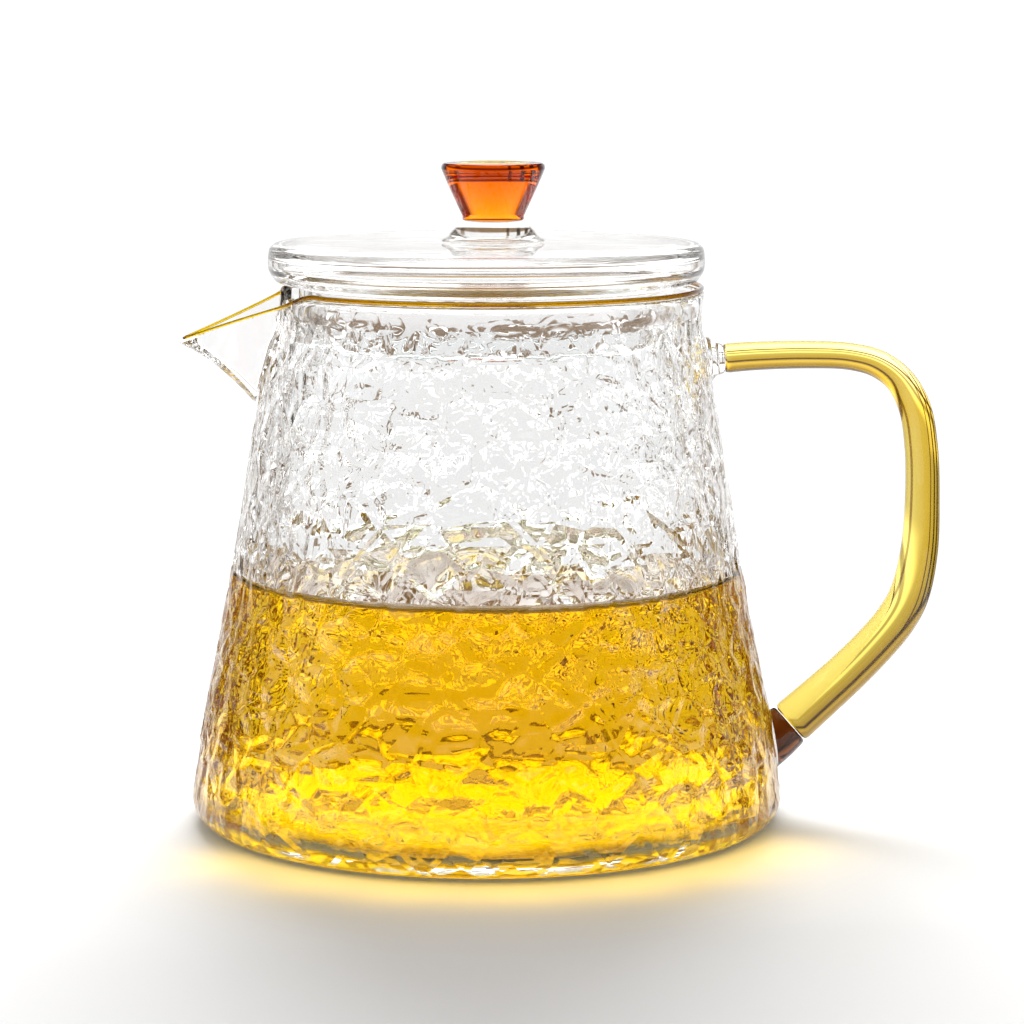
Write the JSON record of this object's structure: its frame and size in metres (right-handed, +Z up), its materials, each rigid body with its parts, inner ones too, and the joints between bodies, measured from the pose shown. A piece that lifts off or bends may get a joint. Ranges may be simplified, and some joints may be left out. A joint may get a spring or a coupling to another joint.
{
  "type": "glass teapot",
  "caption": "Tapered clear glass teapot with a hammered wall, an open pouring beak, an amber loop handle and a lift-off glass lid with an amber knob.",
  "frame": {"origin": "centre of the flat base, on the surface it stands on", "axes": "+Z up along the pot's axis, +X towards the handle, -X towards the pouring beak, +Y to the left of someone looking along +X"},
  "size_m": [0.1602, 0.1248, 0.1376],
  "materials": {
    "clear_glass": "clear polished borosilicate, hammered pattern on the pot wall",
    "amber_glass": "transparent orange-amber glass, polished",
    "honey_glass": "transparent honey-yellow glass, polished",
    "gold_thread": "transparent amber glass thread, polished",
    "brown_glass": "dark brown glass where the rod is melted to the wall, polished"
  },
  "bodies": {
    "pot": {"vessel": "clear_glass", "spout": "clear_glass", "lip_thread": "gold_thread", "handle": "honey_glass", "handle_weld_upper": "clear_glass", "handle_weld_lower": "brown_glass"},
    "cover": {"lid": "clear_glass", "knob_foot": "clear_glass", "knob": "amber_glass"}
  },
  "joints": [
    {"name": "lid_lift", "type": "slide", "parent": "pot", "child": "cover", "axis": [0, 0, 1], "range_m": [0, 0.06]}
  ]
}
